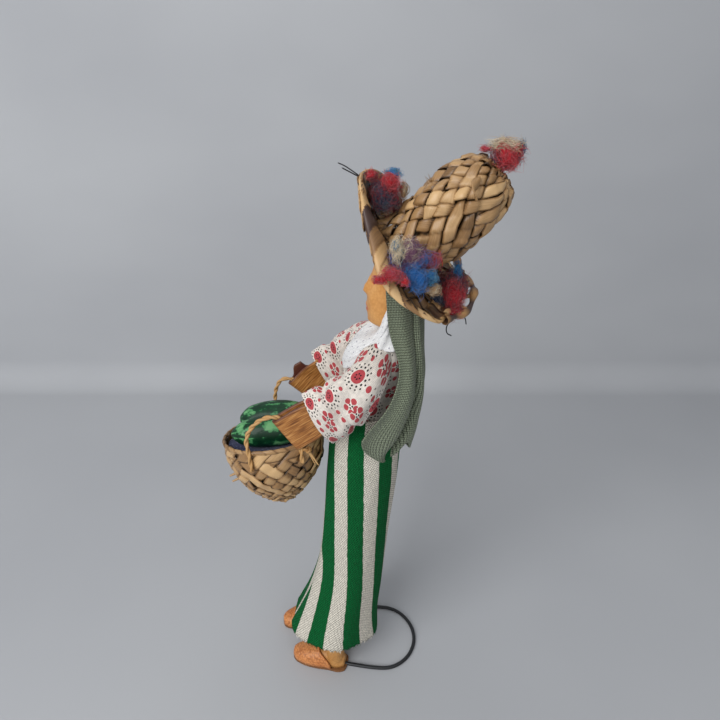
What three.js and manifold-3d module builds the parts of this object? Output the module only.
// Cloth folk doll of a market woman: straw sombrero with wool tufts, gauze veil, printed blouse,
// striped wrap skirt, leather face, hands and slippers, and a palm-leaf basket of melons.
// Millimetres, +Z up. The doll faces -Y and its left side is +X. While the pieces are modelled,
// Y = 0 is the plumb line just in front of the face and Z = 0 is the floor. At the end the whole
// doll is moved so that the origin lies on the floor under the middle of its bounding box.
import * as THREE from 'three';
import { mergeVertices } from 'three/addons/utils/BufferGeometryUtils.js';
import Module from 'manifold-3d';

const wasm = await Module();
wasm.setup();

// Fits and material thicknesses
const CLEAR = 0.3; // gap between two pieces that touch
const SKIRT_CLOTH = 0.9; // hand-woven striped cotton
const BLOUSE_CLOTH = 1.0; // printed cotton with its seam allowance
const KERCHIEF_CLOTH = 1.2; // folded white cotton
const VEIL_CLOTH = 1.1; // open gauze, doubled
const LEATHER = 1.3; // hands
const UPPER_LEATHER = 1.1; // slipper uppers
const STRAW = 1.6; // two crossed palm-leaf strips

// Heights: everything above the hem is set off from the shoulders, which the legs carry
const SHOULDER_Z = 196.5;
const HEM_Z = 12;
const KNEE_Z = SHOULDER_Z * 0.285;
const CORE_BOTTOM_Z = SHOULDER_Z - 60.5;
const VEIL_HEM_Z = SHOULDER_Z - 46.5;
const WIRE_TOP_Z = SHOULDER_Z - 44.5;
const BLOUSE_BOTTOM_Z = SHOULDER_Z - 38.5;
const WAIST_Z = SHOULDER_Z - 28.5;
const NECK_BOTTOM_Z = SHOULDER_Z - 6.5;
const CORE_TOP_Z = SHOULDER_Z + 6.5;
const BLOUSE_TOP_Z = SHOULDER_Z + 9.5;
const CHIN_Z = SHOULDER_Z + 10;
const KERCHIEF_TOP_Z = SHOULDER_Z + 14;
const NECK_TOP_Z = CHIN_Z + 12.5;
const HAT_Z = CHIN_Z + 34.5; // middle of the hat's mouth
const VEIL_TOP_Z = HAT_Z - 4;

// Wire stand: one steel wire from leg to leg, bent into a loop on the floor behind the heels
const WIRE = 2.0;
const LOOP_RADIUS = 21;
const LOOP_CENTRE_Y = 12;

// Feet and slippers
const SOLE = 1.4;
const FOOT_LENGTH = 30;
const FOOT_HALF_WIDTH = 5.6;
const FOOT_HEIGHT = 8.5;
const ANKLE_Z = 15;
const ANKLE_RADIUS = 4.4;
const HEEL_TO_WIRE = 6;
const HEEL_SPREAD = 17.5;
const HEEL_Y = -8.5;
const RIGHT_STEP = 9; // the right foot stands this much further forward
const TOE_IN = 0.24; // radians
const VAMP_TOP = 15; // slipper edge over the instep, from the heel
const VAMP_SIDE = 7; // slipper edge at the sole, from the heel

// Legs and stuffed body
const HIP_X = 8;
const HIP_Y = 1.5;
const KNEE_X = 10;
const KNEE_Y = -8;
const LEG_RADIUS = 5.2;
const CORE_GAP = 1.2; // wadding between the core and the blouse

// Blouse body, skirt, kerchief
const HALF_SHOULDER = 17; // the side seam, where the sleeve begins
const WRAP_START = 5.0; // angle of the skirt's outer edge, radians from +X
const WRAP_OVERLAP = 0.3;

// Neck and head
const NECK_Y = 13.3;
const NECK_RADIUS = 3.2;
const HEAD_HEIGHT = 40;
const NOSE_LENGTH = 3.2;

// Hat, in its own tilted frame: origin at the middle of the mouth, axis along the crown
const HAT_Y = 19;
const HAT_TILT = 0.8; // back from upright
const HAT_ROLL = 0.21; // towards the doll's left
const CROWN_RADIUS = 15;
const CROWN_HEIGHT = 47;
const BRIM_RADIUS = 34.8;
const BRIM_SIDE_RADIUS = 32;
const BRIM_LIP = 8.5; // how far the front and back edges turn up
const EDGING_RADIUS = 1.3;
const THREAD = 0.8;

// Arms, hands and sleeves
const SHOULDER_Y = 7;
const ARM_WIRE = 3.0; // wire bound with cotton
const ARM_INNER_X = 6;
const HAND_X = 24.5;
const HAND_WIDTH = 14.3;
const HAND_LENGTH = 19;
const GRIP_Y = -30.5; // middle of the fold that holds the basket's handle
const GRIP_Z = SHOULDER_Z - 29.5;
const GRIP_SLOPE = 0.682; // the fold runs down towards the doll, radians
const GRIP_HALF = 8.5; // half the straight run of handle along the fold
const GRIP_SLACK = 0.5; // room for the rope to rock in the fold
const RIGHT_GRIP_DROP = 6; // the right hand is held this much lower
const RIGHT_GRIP_BACK = 2; // and this much further back
const CUFF_HALF_HEIGHT = 12.2;
const CUFF_HALF_WIDTH = 6.8;

// Basket, in its own tilted frame: origin at the middle of the rim
const BASKET_Y = -42.5;
const BASKET_Z = SHOULDER_Z - 46;
const BASKET_TILT = 0.1; // front down
const BASKET_ROLL = 0.2; // left side up
const BASKET_RADIUS = 24;
const BASKET_DEPTH = 34;
const BASKET_FOOT = 8;
const HANDLE = 2.6;
const HANDLE_REAR = 0.68; // rear anchors, radians behind the basket's side
const HANDLE_FRONT = { left: 0.38, right: 0.1 }; // front anchors, radians ahead of it
const HANDLE_TAIL = 9; // handle end stitched down the outside of the wall
const FELT = 1.5;
const FELT_DEPTH = 4; // below the rim
const MELON_RADIUS = 7.6;
const MELON_HALF_LENGTH = 18;

const point = (x, y, z) => new THREE.Vector3(x, y, z);
const SIDES = { left: 1, right: -1 };

// Values at a height or a length between hand-set stations [place, value, value, ...]
function station(stations, at) {
  const last = stations.length - 1;
  const i = Math.max(0, Math.min(last - 1, stations.findIndex((s) => s[0] > at) - 1));
  const index = at >= stations[last][0] ? last - 1 : i;
  const [low, high] = [stations[index], stations[index + 1]];
  const t = THREE.MathUtils.clamp((at - low[0]) / (high[0] - low[0]), 0, 1);
  return low.slice(1).map((value, k) => THREE.MathUtils.lerp(value, high[k + 1], t));
}

// Turns a closed surface so that its faces point outwards
function outward(geometry) {
  const at = geometry.attributes.position;
  const index = Array.from(geometry.index.array);
  const corner = (i) => point(0, 0, 0).fromBufferAttribute(at, index[i]);
  let volume = 0;
  for (let i = 0; i < index.length; i += 3) volume += corner(i).dot(corner(i + 1).cross(corner(i + 2)));
  return geometry.setIndex(volume < 0 ? index.reverse() : index);
}

const closed = (vertices, triangles) =>
  outward(new THREE.BufferGeometry().setFromPoints(vertices).setIndex(triangles));

// A turned form about +Z from a profile of [radius, height] that starts and ends on the axis
const lathe = (profile, segments) =>
  outward(new THREE.LatheGeometry(profile.map(([r, z]) => new THREE.Vector2(r, z)), segments).rotateX(Math.PI / 2));

// A skin over equal rings of points. A loop of rings closes on itself, otherwise both ends are capped.
function loft(rings, loop = false) {
  const around = rings[0].length;
  const vertices = rings.flat();
  const triangles = [];
  const quad = (a, b, c, d) => triangles.push(a, b, c, a, c, d);
  const spans = loop ? rings.length : rings.length - 1;
  for (let i = 0; i < spans; i++) {
    const here = i * around;
    const next = ((i + 1) % rings.length) * around;
    for (let j = 0; j < around; j++) {
      const k = (j + 1) % around;
      quad(here + j, here + k, next + k, next + j);
    }
  }
  if (!loop) {
    for (const [start, step] of [[0, 1], [(rings.length - 1) * around, -1]]) {
      const ring = vertices.slice(start, start + around);
      const middle = ring.reduce((sum, p) => sum.add(p), point(0, 0, 0)).divideScalar(around);
      const centre = vertices.push(middle) - 1;
      for (let j = 0; j < around; j++) {
        const pair = [start + j, start + ((j + 1) % around)];
        triangles.push(centre, ...(step > 0 ? pair.reverse() : pair));
      }
    }
  }
  return closed(vertices, triangles);
}

// A sheet of cloth as a thin closed solid: surface(u, v) with u and v from 0 to 1
function sheet(surface, columns, rows, thickness) {
  const step = 1e-3;
  const sides = [1, -1].map((side) => {
    const grid = [];
    for (let r = 0; r <= rows; r++) {
      for (let c = 0; c <= columns; c++) {
        const [u, v] = [c / columns, r / rows];
        const across = surface(Math.min(1, u + step), v).sub(surface(Math.max(0, u - step), v));
        const along = surface(u, Math.min(1, v + step)).sub(surface(u, Math.max(0, v - step)));
        const normal = across.cross(along).normalize();
        grid.push(surface(u, v).addScaledVector(normal, (side * thickness) / 2));
      }
    }
    return grid;
  });
  const vertices = sides.flat();
  const count = sides[0].length;
  const triangles = [];
  const at = (r, c) => r * (columns + 1) + c;
  const quad = (a, b, c, d) => triangles.push(a, b, c, a, c, d);
  for (let r = 0; r < rows; r++) {
    for (let c = 0; c < columns; c++) {
      const corners = [at(r, c), at(r, c + 1), at(r + 1, c + 1), at(r + 1, c)];
      quad(...corners);
      quad(...corners.map((k) => k + count).reverse());
    }
  }
  const border = [];
  for (let c = 0; c < columns; c++) border.push([at(0, c + 1), at(0, c)], [at(rows, c), at(rows, c + 1)]);
  for (let r = 0; r < rows; r++) border.push([at(r, 0), at(r + 1, 0)], [at(r + 1, columns), at(r, columns)]);
  for (const [a, b] of border) quad(a, b, b + count, a + count);
  return closed(vertices, triangles);
}

// A solid tube along a curve
function tube(curve, radius, sides, steps) {
  const section = new THREE.Shape();
  for (let i = 0; i < sides; i++) {
    const angle = (2 * Math.PI * i) / sides;
    const [x, y] = [radius * Math.cos(angle), radius * Math.sin(angle)];
    if (i) section.lineTo(x, y);
    else section.moveTo(x, y);
  }
  return new THREE.ExtrudeGeometry(section, { steps, bevelEnabled: false, extrudePath: curve });
}

const curveThrough = (points, loop = false) => new THREE.CatmullRomCurve3(points, loop, 'centripetal');

// A ring of points: centre + a cos + b sin
function ring(centre, a, b, count) {
  return Array.from({ length: count }, (_, i) => {
    const angle = (2 * Math.PI * i) / count;
    return centre.clone().addScaledVector(a, Math.cos(angle)).addScaledVector(b, Math.sin(angle));
  });
}

const X = point(1, 0, 0);
const Y = point(0, 1, 0);
const Z = point(0, 0, 1);
const flatRing = (x, y, z, halfX, halfY, count) =>
  ring(point(x, y, z), X.clone().multiplyScalar(halfX), Y.clone().multiplyScalar(halfY), count);

// Booleans
function solid(geometry) {
  const bare = geometry.clone();
  bare.deleteAttribute('normal');
  bare.deleteAttribute('uv');
  const merged = mergeVertices(bare, 1e-4);
  return new wasm.Manifold(new wasm.Mesh({
    numProp: 3,
    vertProperties: new Float32Array(merged.attributes.position.array),
    triVerts: new Uint32Array(merged.index.array),
  }));
}

function surfaceOf(made) {
  const mesh = made.getMesh();
  const geometry = new THREE.BufferGeometry();
  geometry.setAttribute('position', new THREE.BufferAttribute(new Float32Array(mesh.vertProperties), 3));
  return geometry.setIndex(new THREE.BufferAttribute(new Uint32Array(mesh.triVerts), 1));
}

const cut = (geometry, ...tools) =>
  surfaceOf(tools.reduce((left, tool) => left.subtract(solid(tool)), solid(geometry)));
const join = (geometry, ...others) =>
  surfaceOf(others.reduce((made, other) => made.add(solid(other)), solid(geometry)));

function rod(from, to, radius, sides = 12) {
  const geometry = new THREE.CylinderGeometry(radius, radius, from.distanceTo(to), sides);
  const turn = new THREE.Quaternion().setFromUnitVectors(Y, to.clone().sub(from).normalize());
  geometry.applyQuaternion(turn);
  return geometry.translate(...from.clone().add(to).divideScalar(2).toArray());
}

// Materials: colour, roughness, metalness
const material = (color, roughness, metalness = 0) =>
  new THREE.MeshStandardMaterial({ color, roughness, metalness });
const MATERIALS = {
  wire: material('#3c4144', 0.45, 0.9),
  footLeather: material('#d9a05c', 0.6),
  slipperLeather: material('#d67f3d', 0.65),
  soleLeather: material('#8a5a34', 0.8),
  legCloth: material('#d9d0c2', 0.9),
  bodyCloth: material('#d8cdb8', 0.9),
  neckWood: material('#b98f5f', 0.7),
  stripedCotton: material('#1f7a43', 0.9),
  printedCotton: material('#e6ddd2', 0.9),
  whiteCotton: material('#e9e8ea', 0.9),
  gauze: material('#5f7d62', 0.95),
  faceLeather: material('#d69a55', 0.55),
  straw: material('#c19c66', 0.6),
  darkStraw: material('#8d715c', 0.55),
  thread: material('#24262a', 0.8),
  redWool: material('#b22a36', 1),
  blueWool: material('#1f5f96', 1),
  creamWool: material('#c9b48e', 1),
  handLeather: material('#c48a4a', 0.65),
  armCloth: material('#cfc3ae', 0.9),
  basketStraw: material('#b9946a', 0.6),
  rope: material('#c79f6d', 0.7),
  felt: material('#34384f', 1),
  wad: material('#b9a88a', 1),
  melon: material('#14633c', 0.25),
};

const doll = new THREE.Group();
function add(parent, name, geometry, look) {
  const mesh = new THREE.Mesh(geometry, MATERIALS[look]);
  mesh.name = name;
  parent.add(mesh);
  return mesh;
}

// Feet frames: local -Y points to the toe, the heel's back is at the local origin
const feet = {};
for (const [name, side] of Object.entries(SIDES)) {
  const foot = new THREE.Group();
  foot.position.set(side * HEEL_SPREAD, HEEL_Y - (side < 0 ? RIGHT_STEP : 0), 0);
  foot.rotation.z = -side * TOE_IN;
  doll.add(foot);
  foot.updateMatrixWorld(true);
  feet[name] = foot;
}

// Stand wire: down inside each leg, out of the heel and round the loop
function wireCurve() {
  const leg = (name) => {
    const side = SIDES[name];
    const inFoot = [
      [ANKLE_Z, -HEEL_TO_WIRE],
      [WIRE * 2.6, -HEEL_TO_WIRE],
      [WIRE * 0.8, -HEEL_TO_WIRE + WIRE],
      [WIRE / 2, -WIRE / 2],
      [WIRE / 2, WIRE * 2],
    ].map(([z, y]) => point(0, y, z).applyMatrix4(feet[name].matrixWorld));
    const hip = [WIRE_TOP_Z, CORE_BOTTOM_Z].map((z) => point(side * HIP_X, HIP_Y, z));
    return [...hip, point(side * KNEE_X, KNEE_Y, KNEE_Z), ...inFoot];
  };
  const arc = [0.08, 0.25, 0.42, 0.58, 0.75, 0.92].map((share) =>
    point(LOOP_RADIUS * Math.cos(Math.PI * share), LOOP_CENTRE_Y + LOOP_RADIUS * Math.sin(Math.PI * share), WIRE / 2));
  return curveThrough([...leg('left'), ...arc, ...leg('right').reverse()]);
}
const standCurve = wireCurve();
const WIRE_STEPS = 72;
const wireBore = tube(standCurve, WIRE / 2 + CLEAR, 6, WIRE_STEPS);
add(doll, 'stand_wire', tube(standCurve, WIRE / 2, 6, WIRE_STEPS), 'wire');

// Foot, slipper and sole, from stations along the foot: distance from the heel, half width, height
const FOOT_SHAPE = [
  [0, 0.5, 0.62],
  [0.08, 0.78, 0.86],
  [0.3, 0.88, 1],
  [0.55, 1, 0.86],
  [0.8, 0.88, 0.62],
  [0.94, 0.56, 0.42],
  [1, 0.2, 0.3],
];
function footRings(grow, drop = 0) {
  const base = SOLE + CLEAR;
  return FOOT_SHAPE.map(([share, width, height], i) => {
    const ends = i === 0 ? grow : i === FOOT_SHAPE.length - 1 ? -grow : 0;
    const y = -share * FOOT_LENGTH + ends;
    const half = width * FOOT_HALF_WIDTH + grow;
    const tall = height * FOOT_HEIGHT + grow;
    const arch = Array.from({ length: 9 }, (_, k) => {
      const angle = (Math.PI * k) / 8;
      return point(half * Math.cos(angle), y, base + tall * Math.sin(angle) ** 0.75);
    });
    return drop ? [point(half, y, base - drop), ...arch, point(-half, y, base - drop)] : arch;
  });
}
function makeFoot(name) {
  const frame = feet[name];
  const inverse = frame.matrixWorld.clone().invert();
  const bore = wireBore.clone().applyMatrix4(inverse);
  const ankle = loft([
    flatRing(0, -HEEL_TO_WIRE, FOOT_HEIGHT / 2, ANKLE_RADIUS * 0.95, ANKLE_RADIUS * 1.05, 10),
    flatRing(0, -HEEL_TO_WIRE, ANKLE_Z, ANKLE_RADIUS, ANKLE_RADIUS, 10),
  ]);
  add(frame, `${name}_foot`, cut(join(loft(footRings(0)), ankle), bore), 'footLeather');

  // Toe cap: a shell over the foot, open underneath, with a throat that slopes down towards the heel
  const throat = new THREE.Shape([
    new THREE.Vector2(FOOT_LENGTH, -FOOT_LENGTH),
    new THREE.Vector2(-VAMP_SIDE, -FOOT_LENGTH),
    new THREE.Vector2(-VAMP_SIDE, SOLE),
    new THREE.Vector2(-VAMP_TOP, SOLE + FOOT_HEIGHT),
    new THREE.Vector2(-VAMP_TOP - FOOT_HEIGHT, FOOT_LENGTH),
    new THREE.Vector2(FOOT_LENGTH, FOOT_LENGTH),
  ]);
  const behind = new THREE.ExtrudeGeometry(throat, { depth: FOOT_LENGTH, bevelEnabled: false });
  behind.translate(0, 0, -FOOT_LENGTH / 2);
  behind.applyMatrix4(new THREE.Matrix4().makeBasis(Y, Z, X));
  const shell = cut(loft(footRings(CLEAR + UPPER_LEATHER)), loft(footRings(CLEAR, SOLE)), behind, bore);
  add(frame, `${name}_slipper`, shell, 'slipperLeather');

  const outline = [];
  for (const side of [1, -1]) {
    const row = FOOT_SHAPE.map(([share, width]) =>
      new THREE.Vector2(side * (width * FOOT_HALF_WIDTH + UPPER_LEATHER + CLEAR), -share * FOOT_LENGTH));
    outline.push(...(side > 0 ? row : row.reverse()));
  }
  const sole = new THREE.ExtrudeGeometry(new THREE.Shape(outline), { depth: SOLE, bevelEnabled: false });
  add(frame, `${name}_sole`, cut(sole, bore), 'soleLeather');
}
for (const name of Object.keys(SIDES)) makeFoot(name);

// Legs: stuffed cotton bound round the wire, from the ankle to the bottom of the body
for (const [name, side] of Object.entries(SIDES)) {
  const ankle = point(0, -HEEL_TO_WIRE, ANKLE_Z + CLEAR).applyMatrix4(feet[name].matrixWorld);
  const hip = point(side * HIP_X, HIP_Y, CORE_BOTTOM_Z - CLEAR);
  const bone = curveThrough([ankle, point(side * KNEE_X, KNEE_Y, KNEE_Z), hip]);
  const swell = [[0, 0.8], [0.25, 1], [0.4, 0.9], [0.8, 1.15], [1, 1]];
  const rings = [0, 0.12, 0.25, 0.4, 0.6, 0.8, 1].map((t) => {
    const middle = bone.getPoint(t);
    const [share] = station(swell, t);
    return flatRing(middle.x, middle.y, middle.z, LEG_RADIUS * share, LEG_RADIUS * share, 10);
  });
  add(doll, `${name}_leg`, cut(loft(rings), wireBore), 'legCloth');
}

// Blouse body. Stations: height, middle Y, half depth, half width as a share of the shoulder
const BLOUSE_SHAPE = [
  [BLOUSE_BOTTOM_Z, 3.2, 13.4, 0.88],
  [SHOULDER_Z - 24.5, 4.6, 13.9, 0.95],
  [SHOULDER_Z - 10.5, 7, 14, 1],
  [SHOULDER_Z + 0.5, 9.6, 12, 1],
  [SHOULDER_Z + 6.5, 11.6, 8.8, 0.76],
  [BLOUSE_TOP_Z, 12.6, 7, 0.55],
];
function blouseRings(grow, stretch = 0) {
  return BLOUSE_SHAPE.map(([z, y, depth, share], i) => {
    const ends = i === 0 ? -stretch : i === BLOUSE_SHAPE.length - 1 ? stretch : 0;
    return flatRing(0, y, z + ends, HALF_SHOULDER * share + grow, depth + grow, 20);
  });
}
const armBores = Object.values(SIDES).map((side) =>
  rod(point(side * (ARM_INNER_X - CLEAR), SHOULDER_Y, SHOULDER_Z),
    point(side * HALF_SHOULDER * 1.3, SHOULDER_Y, SHOULDER_Z), ARM_WIRE / 2 + CLEAR, 10));
const blouseShell = cut(loft(blouseRings(0)), loft(blouseRings(-BLOUSE_CLOTH, 1)), ...armBores);
add(doll, 'blouse_body', blouseShell, 'printedCotton');

// Stuffed body inside the blouse and the top of the skirt, and the wooden neck set into it
const coreInset = BLOUSE_CLOTH + CORE_GAP;
function coreRing(z, share = 1) {
  const [y, depth, width] = station(BLOUSE_SHAPE, Math.max(z, BLOUSE_BOTTOM_Z));
  return flatRing(0, y, z, (HALF_SHOULDER * width - coreInset) * share, (depth - coreInset) * share, 14);
}
const coreRings = [[0, 0.92], [0.18, 1], [0.36, 1], [0.54, 1], [0.75, 1], [0.895, 1], [0.97, 0.95], [1, 0.7]].map(
  ([rise, share]) => coreRing(THREE.MathUtils.lerp(CORE_BOTTOM_Z, CORE_TOP_Z, rise), share));
const neckRod = (grow) => rod(point(0, NECK_Y, NECK_BOTTOM_Z - grow), point(0, NECK_Y, NECK_TOP_Z + grow),
  NECK_RADIUS + grow, 14);
add(doll, 'body_core', cut(loft(coreRings), neckRod(CLEAR), wireBore, ...armBores), 'bodyCloth');
add(doll, 'neck_peg', neckRod(0), 'neckWood');

// Wrap skirt: one length of cloth wound once round with its outer edge at the front left.
// Stations: height as a share from hem to waist, middle Y, half depth, half width of the outer face
const wrapStep = (SKIRT_CLOTH + CLEAR) * 1.15; // the two layers of the overlap
const waistCloth = CLEAR * 2 + SKIRT_CLOTH + wrapStep / 2;
const waistFit = station(BLOUSE_SHAPE, WAIST_Z);
const SKIRT_SHAPE = [
  [0, -15, 24, 26.5],
  [0.1026, -11, 21.4, 24.4],
  [0.2436, -6.6, 18.8, 22.2],
  [0.5256, -2, 17.7, 20.4],
  [0.7564, 1, 18, 19.8],
  [0.8846, 2.4, 17.6, 19.2],
  [1, waistFit[0], waistFit[1] + waistCloth, HALF_SHOULDER * waistFit[2] + waistCloth],
];
function skirtSurface(u, v) {
  const z = THREE.MathUtils.lerp(HEM_Z, WAIST_Z, v);
  const [y, depth, width] = station(SKIRT_SHAPE, v);
  const angle = WRAP_START + u * (2 * Math.PI + WRAP_OVERLAP);
  const flute = 1.3 * (1 - v) ** 1.6 * Math.sin(6 * angle + 1.2);
  const layer = (0.5 - u) * wrapStep - SKIRT_CLOTH / 2 + flute;
  return point((width + layer) * Math.cos(angle), y + (depth + layer) * Math.sin(angle), z);
}
add(doll, 'skirt', sheet(skirtSurface, 38, 8, SKIRT_CLOTH), 'stripedCotton');

// White kerchief round the neck and over the chest: it follows the blouse and rises to the jaw
function kerchiefRings(inset) {
  const overBlouse = CLEAR + KERCHIEF_CLOTH - inset;
  return [0, 0.3, 0.55, 0.8, 1].map((t) =>
    Array.from({ length: 20 }, (_, i) => {
      const angle = (2 * Math.PI * i) / 20;
      const front = Math.max(0, -Math.sin(angle)) ** 1.5;
      const z = KERCHIEF_TOP_Z - 6 * front - (8.5 + 8 * front) * t;
      const [y, depth, width] = station(BLOUSE_SHAPE, z - 1.6);
      const halfWidth = Math.max(HALF_SHOULDER * width + overBlouse, 11.8 - inset);
      const halfDepth = Math.max(depth + overBlouse, (angle > Math.PI ? 8 : 10.6) - inset);
      return point(halfWidth * Math.cos(angle), y + halfDepth * Math.sin(angle), z);
    }));
}
const kerchief = loft([...kerchiefRings(0), ...kerchiefRings(KERCHIEF_CLOTH).reverse()], true);
add(doll, 'kerchief', kerchief, 'whiteCotton');

// Head: stations of height above the chin, front Y, back Y and half width, with nose, lips and chin added
const head = new THREE.Group();
doll.add(head);
const HEAD_SHAPE = [
  [0, 11.5, 18, 4.6],
  [0.06, 8.2, 20, 7.2],
  [0.14, 6.2, 21.6, 8.8],
  [0.25, 4.9, 23.2, 10.2],
  [0.38, 4.9, 24.4, 10.9],
  [0.55, 5.2, 25, 11.2],
  [0.72, 6.2, 25.4, 11.2],
  [0.84, 8.2, 25, 10.4],
  [0.93, 11.2, 23.4, 8.2],
  [1, 14.5, 20, 4.4],
];
const bump = (at, middle, spread) => Math.exp(-(((at - middle) / spread) ** 2));
function headRing(share, grow) {
  const shape = station(HEAD_SHAPE, share);
  const [front, back, half] = [shape[0] - grow, shape[1] + grow, shape[2] + grow];
  const middle = (front + back) / 2;
  return Array.from({ length: 28 }, (_, i) => {
    const angle = (2 * Math.PI * (i + 0.5)) / 28 - Math.PI / 2;
    const x = half * Math.cos(angle);
    const y = middle + (back - middle) * Math.sin(angle);
    const facing = Math.sin(angle) < 0 ? 1 : 0;
    const nose = NOSE_LENGTH * bump(x, 0, 2.4) * (bump(share, 0.46, 0.045) + 0.55 * bump(share, 0.55, 0.07));
    const lips = 0.8 * bump(x, 0, 3) * (bump(share, 0.28, 0.022) + 0.9 * bump(share, 0.22, 0.022));
    const chin = 0.9 * bump(x, 0, 3.4) * bump(share, 0.09, 0.05);
    return point(x, y - facing * (nose + lips + chin), CHIN_Z + share * HEAD_HEIGHT);
  });
}
const headShares = [0, 0.05, 0.1, 0.15, 0.2, 0.235, 0.27, 0.31, 0.37, 0.42, 0.46, 0.5, 0.56, 0.64, 0.73, 0.82, 0.9,
  0.96, 1];

// Hat frame and its woven parts
const hat = new THREE.Group();
hat.position.set(0, HAT_Y, HAT_Z);
hat.rotation.set(-HAT_TILT, HAT_ROLL, 0);
head.add(hat);
hat.updateMatrixWorld(true);

// Crown: shares of the height against shares of the radius, as a hollow straw cap with a blunt tip
const CROWN_SHAPE = [[0, 0.98], [0.3, 1], [0.5, 1.03], [0.7, 1], [0.84, 0.9], [0.94, 0.74], [0.99, 0.5]];
function crownSolid(grow, filled = false) {
  const skirtZ = -STRAW / 2 - grow;
  const outer = CROWN_SHAPE.map(([h, r]) => [r * CROWN_RADIUS + grow, h ? h * CROWN_HEIGHT : skirtZ]);
  const roof = CROWN_HEIGHT - STRAW - grow;
  const inner = CROWN_SHAPE.map(([h, r]) =>
    [r * CROWN_RADIUS - STRAW - grow, h ? h * (CROWN_HEIGHT - STRAW) : skirtZ]);
  const inside = filled ? [[0, skirtZ]] : [...inner, [0, roof]];
  return lathe([[0, CROWN_HEIGHT + grow], ...outer.reverse(), ...inside], 24);
}

// Brim: a saucer round the crown whose front and back edges turn up while its left side droops
const brimReach = (angle, grow) => THREE.MathUtils.lerp(BRIM_SIDE_RADIUS, BRIM_RADIUS, Math.sin(angle) ** 2) + grow;
function brimHeight(angle, share) {
  const lip = BRIM_LIP * Math.sin(angle) ** 2 * share ** 1.8;
  const droop = -2.6 * Math.max(0, Math.cos(angle)) * share + 3 * Math.max(0, -Math.cos(angle)) * share ** 2;
  const wave = 0.9 * share ** 2 * Math.sin(5 * angle + 0.6);
  return lip + droop + wave;
}
function brimSolid(grow, below = 0) {
  const count = 36;
  const inside = CROWN_RADIUS + CLEAR - grow;
  const rows = [0, 0.25, 0.5, 0.75, 1];
  const ringAt = (share, side) => Array.from({ length: count }, (_, i) => {
    const angle = (2 * Math.PI * i) / count;
    const radius = THREE.MathUtils.lerp(inside, brimReach(angle, grow), share);
    const z = brimHeight(angle, share) + side * (STRAW / 2 + grow) - (side < 0 ? below : 0);
    return point(radius * Math.cos(angle), radius * Math.sin(angle), z);
  });
  return loft([...rows.map((s) => ringAt(s, 1)), ...rows.reverse().map((s) => ringAt(s, -1))], true);
}

// Edging: the plaited edge that runs round the brim, a hexagon swept along its rim
function edgingSolid(grow) {
  const count = 36;
  const radius = EDGING_RADIUS + grow;
  const rings = Array.from({ length: count }, (_, i) => {
    const angle = (2 * Math.PI * i) / count;
    const outwards = point(Math.cos(angle), Math.sin(angle), 0);
    const centre = outwards.clone().multiplyScalar(brimReach(angle, CLEAR + EDGING_RADIUS * Math.cos(Math.PI / 6)));
    centre.z = brimHeight(angle, 1);
    return Array.from({ length: 6 }, (_, k) => {
      const turn = (Math.PI * (2 * k + 1)) / 6;
      return centre.clone().addScaledVector(outwards, radius * Math.cos(turn)).addScaledVector(Z, radius * Math.sin(turn));
    });
  });
  return loft(rings, true);
}

// Wool tuft: a lumpy bundle
function tuft(x, y, z, halfX, halfY, halfZ, seed) {
  const rings = [-0.97, -0.75, -0.35, 0.1, 0.5, 0.82, 0.98].map((level) => {
    const reach = Math.sqrt(1 - level * level);
    return Array.from({ length: 12 }, (_, i) => {
      const angle = (2 * Math.PI * i) / 12;
      const lump = 1 + 0.13 * Math.sin(3 * angle + seed + 2 * level) + 0.08 * Math.sin(5 * angle - seed);
      return point(x + halfX * reach * lump * Math.cos(angle), y + halfY * reach * lump * Math.sin(angle),
        z + halfZ * level);
    });
  });
  return loft(rings);
}

add(hat, 'hat_crown', crownSolid(0), 'straw');
add(hat, 'hat_brim', brimSolid(0), 'straw');
const hatCutters = [brimSolid(CLEAR), crownSolid(CLEAR)];
add(hat, 'hat_edging', edgingSolid(0), 'darkStraw');
const tuftCutters = [brimSolid(CLEAR, BRIM_RADIUS), crownSolid(CLEAR, true)];
const edgingCutter = edgingSolid(CLEAR);
const TUFTS = [
  ['front_tuft', 0, -0.68 * BRIM_RADIUS, 9, 9.5, 7.5, 9.5, 0.4, 'redWool'],
  ['left_tuft', 0.727 * BRIM_SIDE_RADIUS, -2, 7, 8, 14, 9, 2.1, 'blueWool'],
  ['right_tuft', -0.727 * BRIM_SIDE_RADIUS, 0.5, 6.5, 7, 11, 8, 4.2, 'blueWool'],
  ['back_tuft', 3, 0.694 * BRIM_RADIUS, 6.5, 10.5, 8, 8.5, 5.3, 'redWool'],
];
for (const [name, ...rest] of TUFTS) {
  const [seed, look] = rest.slice(6);
  add(hat, name, cut(tuft(...rest.slice(0, 6), seed), ...tuftCutters, edgingCutter), look);
}
const pompom = tuft(0, -3, CROWN_HEIGHT + 5, 10, 10, 7.2, 1.3);
add(hat, 'crown_pompom', cut(pompom, crownSolid(CLEAR, true)), 'redWool');

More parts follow.
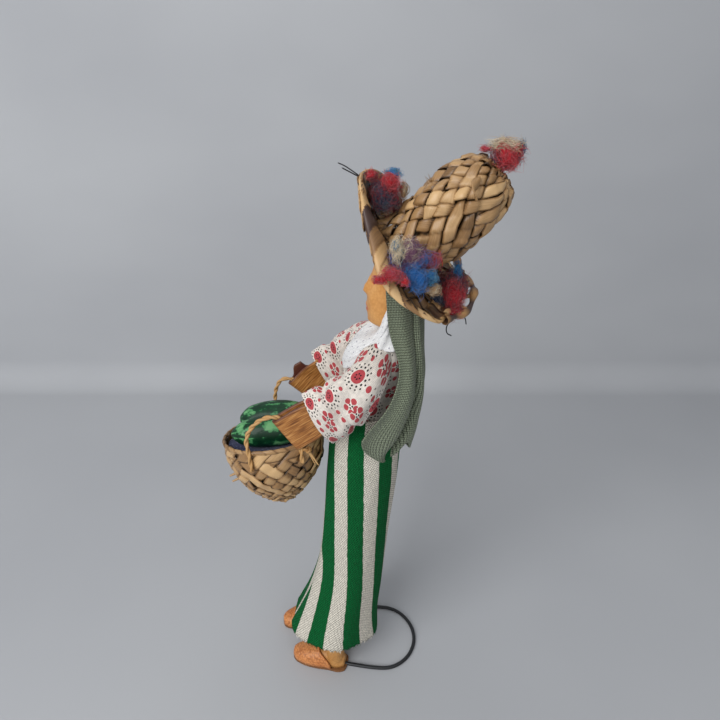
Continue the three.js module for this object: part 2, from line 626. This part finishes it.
// Loose ends of the black thread that ties the wool on: hairpins stitched through the edging
function threadCurve(angle, length, lift, hook) {
  const rim = brimReach(angle, 2 * EDGING_RADIUS + CLEAR + THREAD);
  const along = point(-Math.sin(angle), Math.cos(angle), 0);
  const outwards = point(Math.cos(angle), Math.sin(angle), 0);
  const place = (out, sideways, up) => outwards.clone().multiplyScalar(rim + out)
    .addScaledVector(along, sideways).add(point(0, 0, brimHeight(angle, 1) + up));
  return curveThrough([place(length, 2.2 + hook, lift), place(length * 0.5, 1.6, lift * 0.4), place(0.4, 0.8, 0),
    place(0, 0, 0), place(0.4, -0.8, 0), place(length * 0.5, -1.3, lift * 0.6), place(length * 0.9, -1.8, lift * 1.3)]);
}
const THREADS = [['front_thread', -Math.PI / 2, 9, -2.5, 0], ['back_thread', 0.95, 6, -3, 2.5]];
for (const [name, angle, length, lift, hook] of THREADS) {
  add(hat, name, tube(threadCurve(angle, length, lift, hook), THREAD / 2, 5, 22), 'thread');
}

// The head is pressed into the hat and turns on the neck peg
const hatInHead = hatCutters.map((tool) => tool.clone().applyMatrix4(hat.matrixWorld));
const headSolid = (grow) => loft(headShares.map((share) => headRing(share, grow)));
add(head, 'head', cut(headSolid(0), neckRod(CLEAR), ...hatInHead), 'faceLeather');

// Veil: gauze over the back of the head, down the back to the hips.
// Stations from the hem up: height, half width, front edge Y, back Y
const VEIL_SHAPE = [
  [VEIL_HEM_Z - 4, 23.5, 15.5, 25.4],
  [VEIL_HEM_Z + 16, 25, 16, 27.2],
  [SHOULDER_Z - 12.5, 24, 16.6, 29.2],
  [SHOULDER_Z + 0.5, 19.5, 16.6, 28.2],
  [SHOULDER_Z + 11.5, 15, 12.8, 27.8],
  [SHOULDER_Z + 25.5, 13.2, 11, 27.4],
  [VEIL_TOP_Z, 12.9, 10.5, 27],
];
function veilSurface(u, v) {
  const s = 2 * u - 1;
  const hem = VEIL_HEM_Z - 5.5 * bump(Math.abs(s), 0.8, 0.16) - 1.5 * Math.cos(3 * Math.PI * s);
  const z = THREE.MathUtils.lerp(hem, VEIL_TOP_Z, v);
  const [half, front, back] = station(VEIL_SHAPE, z);
  const angle = (s * Math.PI) / 2;
  const fold = 1.25 * (1 - v) ** 0.8 * Math.sin(5.5 * Math.PI * s + 0.6) * Math.cos(angle) ** 0.3;
  return point((half + fold) * Math.sin(angle), front + (back - front + fold) * Math.cos(angle), z);
}
add(doll, 'veil', cut(sheet(veilSurface, 24, 12, VEIL_CLOTH), headSolid(CLEAR), ...hatInHead), 'gauze');

// Grip: the handle runs along the fold of each hand. In the YZ plane, fold runs down and back,
// wrist points from the fold up towards the sleeve.
const fold = point(0, Math.cos(GRIP_SLOPE), -Math.sin(GRIP_SLOPE));
const wrist = point(0, Math.sin(GRIP_SLOPE), Math.cos(GRIP_SLOPE));
function grip(side, alongFold, alongWrist) {
  const [back, drop] = side < 0 ? [RIGHT_GRIP_BACK, RIGHT_GRIP_DROP] : [0, 0];
  const middle = point(side * HAND_X, GRIP_Y + back, GRIP_Z - drop);
  return middle.addScaledVector(fold, alongFold).addScaledVector(wrist, alongWrist);
}

// Arm wire: a straight pivot through the side seam, then down to the elbow and forward to the hand
const elbow = (side) => point(side * (HAND_X + 0.6), SHOULDER_Y - 8, SHOULDER_Z - 13.5);
function armCurve(side) {
  const pivot = [ARM_INNER_X, 11, 15, HALF_SHOULDER + 1.5].map((x) => point(side * x, SHOULDER_Y, SHOULDER_Z));
  return curveThrough([...pivot, point(side * (HAND_X - 1.5), SHOULDER_Y - 2.5, SHOULDER_Z - 4.5), elbow(side),
    grip(side, -0.5, HAND_LENGTH - 2), grip(side, -0.5, HAND_LENGTH * 0.5)]);
}

// Hand: a strip of leather folded over the handle
function handSolid(side) {
  const inner = HANDLE / 2 + GRIP_SLACK;
  const outer = inner + LEATHER;
  const profile = new THREE.Shape();
  profile.moveTo(-outer, HAND_LENGTH);
  profile.lineTo(-outer, 0);
  profile.absarc(0, 0, outer, Math.PI, 2 * Math.PI, false);
  profile.lineTo(outer, HAND_LENGTH);
  profile.lineTo(inner, HAND_LENGTH);
  profile.lineTo(inner, 0);
  profile.absarc(0, 0, inner, 2 * Math.PI, Math.PI, true);
  profile.lineTo(-inner, HAND_LENGTH);
  const strip = new THREE.ExtrudeGeometry(profile, { depth: HAND_WIDTH, bevelEnabled: false, curveSegments: 8 });
  const across = wrist.clone().cross(fold);
  strip.applyMatrix4(new THREE.Matrix4().makeBasis(across, wrist, fold).setPosition(grip(side, -GRIP_HALF, 0)));

  // The strip narrows towards the wrist, where it goes into the cuff
  const [wide, tall] = [HAND_WIDTH, HAND_LENGTH];
  const waste = [-1, 1].map((end) => {
    const edge = end < 0 ? -GRIP_HALF : wide - GRIP_HALF;
    const corner = [[edge, tall * 0.45], [edge - end * wide * (end < 0 ? 0.3 : 0.1), tall + 1], [edge + end, tall + 1]];
    const outline = new THREE.Shape(corner.map(([f, w]) => new THREE.Vector2(f, w)));
    const wedge = new THREE.ExtrudeGeometry(outline, { depth: 4 * outer, bevelEnabled: false });
    const frame = new THREE.Matrix4().makeBasis(fold, wrist, fold.clone().cross(wrist));
    return wedge.translate(0, 0, -2 * outer).applyMatrix4(frame.setPosition(grip(side, 0, 0)));
  });
  return cut(strip, ...waste);
}

// Sleeve: a wide bell from the side seam to the cuff
const cuffUp = point(0, -0.459, 0.889);
const cuffOn = point(0, 0.889, 0.459);
function sleeveRings(side, inset) {
  const shoulder = point(side * (HALF_SHOULDER + CLEAR), SHOULDER_Y, SHOULDER_Z);
  const cuff = grip(side, 2.6, HAND_LENGTH * 0.72);
  const between = (t, lift) => shoulder.clone().lerp(cuff, t).addScaledVector(Z, lift);
  const out = (share, back) => point(side * share, back, 0).normalize();
  const rings = [
    [shoulder, 7.6, 7.6, cuffOn],
    [between(0.16, -1.2).setX(side * (HALF_SHOULDER + 4.6)), 8.8, 7.6, point(side * 0.6, 0.71, 0.37).normalize()],
    [between(0.42, -3).setX(side * (HAND_X + 0.6)), 12, 7.8, out(1, 0.25)],
    [between(0.72, -2).setX(side * (HAND_X + 1)), 12.6, 7.8, out(1, 0)],
    [cuff, CUFF_HALF_HEIGHT, CUFF_HALF_WIDTH, out(1, 0)],
  ];
  return rings.map(([centre, tall, wide, across]) => ring(centre, cuffUp.clone().multiplyScalar(tall - inset),
    across.clone().multiplyScalar(wide - inset), 16));
}

for (const [name, side] of Object.entries(SIDES)) {
  const arm = new THREE.Group();
  doll.add(arm);
  add(arm, `${name}_arm_wire`, tube(armCurve(side), ARM_WIRE / 2, 6, 24), 'armCloth');
  add(arm, `${name}_hand`, handSolid(side), 'handLeather');
  const bell = loft([...sleeveRings(side, 0), ...sleeveRings(side, BLOUSE_CLOTH).reverse()], true);
  const seam = new THREE.BoxGeometry(2 * (HALF_SHOULDER + CLEAR), 120, 120).translate(0, SHOULDER_Y, SHOULDER_Z);
  add(arm, `${name}_sleeve`, cut(bell, seam), 'printedCotton');
}

// Basket frame and its pieces
const basket = new THREE.Group();
basket.position.set(0, BASKET_Y, BASKET_Z);
basket.rotation.set(BASKET_TILT, -BASKET_ROLL, 0);
doll.add(basket);
basket.updateMatrixWorld(true);

// Bowl: shares of the depth below the rim against the radius
const BOWL_SHAPE = [[0, 1], [0.25, 0.99], [0.5, 0.9], [0.72, 0.73], [0.88, 0.53], [1, BASKET_FOOT / BASKET_RADIUS]];
const bowlRadius = (depth) => station(BOWL_SHAPE, depth / BASKET_DEPTH)[0] * BASKET_RADIUS;
function bowlSolid() {
  const outer = BOWL_SHAPE.map(([h, r]) => [r * BASKET_RADIUS, -h * BASKET_DEPTH]);
  const inner = BOWL_SHAPE.map(([h, r]) => [r * BASKET_RADIUS - STRAW, -h * (BASKET_DEPTH - STRAW)]);
  return lathe([[0, -BASKET_DEPTH], ...outer.reverse(), ...inner, [0, STRAW - BASKET_DEPTH]], 28);
}
add(basket, 'basket_bowl', bowlSolid(), 'basketStraw');

// Wad that fills the bowl up to the felt
const wallInside = (depth) => station(BOWL_SHAPE, depth / (BASKET_DEPTH - STRAW))[0] * BASKET_RADIUS - STRAW;
function wadSolid() {
  const top = FELT_DEPTH + FELT + CLEAR;
  const bottom = BASKET_DEPTH - STRAW - CLEAR;
  const side = [0, 0.3, 0.6, 0.82, 1].map((share) => {
    const depth = THREE.MathUtils.lerp(top, bottom, share);
    return [wallInside(depth) - CLEAR * 2, -depth];
  });
  return lathe([[0, -top], ...side, [0, -bottom]], 18);
}
add(basket, 'basket_wad', wadSolid(), 'wad');
const feltRadius = wallInside(FELT_DEPTH + FELT) - CLEAR;
add(basket, 'felt_lining', new THREE.CylinderGeometry(feltRadius, feltRadius, FELT, 24)
  .rotateX(Math.PI / 2).translate(0, 0, -FELT_DEPTH - FELT / 2), 'felt');

// Melons: two pods lying front to back on the felt
const MELON_SHAPE = [[0, 0.22], [0.1, 0.62], [0.28, 0.9], [0.5, 1], [0.72, 0.92], [0.9, 0.64], [1, 0.24]];
function melon(x, radius, lean) {
  const side = MELON_SHAPE.map(([along, r]) => [r * radius, (2 * along - 1) * MELON_HALF_LENGTH]);
  const pod = lathe([[0, -MELON_HALF_LENGTH], ...side, [0, MELON_HALF_LENGTH]], 14);
  return pod.rotateX(Math.PI / 2).rotateZ(lean).translate(x, 0, CLEAR - FELT_DEPTH + radius);
}
add(basket, 'left_melon', melon(MELON_RADIUS + CLEAR, MELON_RADIUS, 0.05), 'melon');
add(basket, 'right_melon', melon(-MELON_RADIUS - CLEAR * 4, MELON_RADIUS * 1.1, -0.03), 'melon');

// Handles: twisted palm, stitched down the wall at both ends and caught in the fold of a hand
function handleCurve(name) {
  const side = SIDES[name];
  const anchor = (angle, depth) => {
    const reach = bowlRadius(Math.max(0, depth)) + HANDLE / 2 + CLEAR;
    const place = point(side * reach * Math.cos(angle), reach * Math.sin(angle), -depth);
    return place.applyMatrix4(basket.matrixWorld);
  };
  const [front, rear] = [-HANDLE_FRONT[name], HANDLE_REAR];
  const straight = [-1, -0.5, 0, 0.5, 1].map((share) => grip(side, share * GRIP_HALF, 0));
  const reach = anchor(front, -7).distanceTo(straight[0]);
  const apex = grip(side, -GRIP_HALF - reach * 0.25, -reach * 0.07);
  const shoulder = anchor(front, -7).lerp(apex, 0.5).add(point(0, -reach * 0.08, reach * 0.09));
  return curveThrough([anchor(front, HANDLE_TAIL), anchor(front, 1), anchor(front, -7), shoulder, apex, ...straight,
    anchor(rear, -4).lerp(straight[4], 0.5).add(point(0, 1, 0)), anchor(rear, 0.5), anchor(rear, HANDLE_TAIL)]);
}
const toBasket = basket.matrixWorld.clone().invert();
for (const name of Object.keys(SIDES)) {
  const rope = tube(handleCurve(name), HANDLE / 2, 6, 32).applyMatrix4(toBasket);
  add(basket, `${name}_handle`, rope, 'rope');
}

// The origin: on the floor, under the middle of the bounding box
const bounds = new THREE.Box3().setFromObject(doll, true);
const middle = bounds.getCenter(point(0, 0, 0));
doll.position.set(-middle.x, -middle.y, -bounds.min.z);

export default doll;
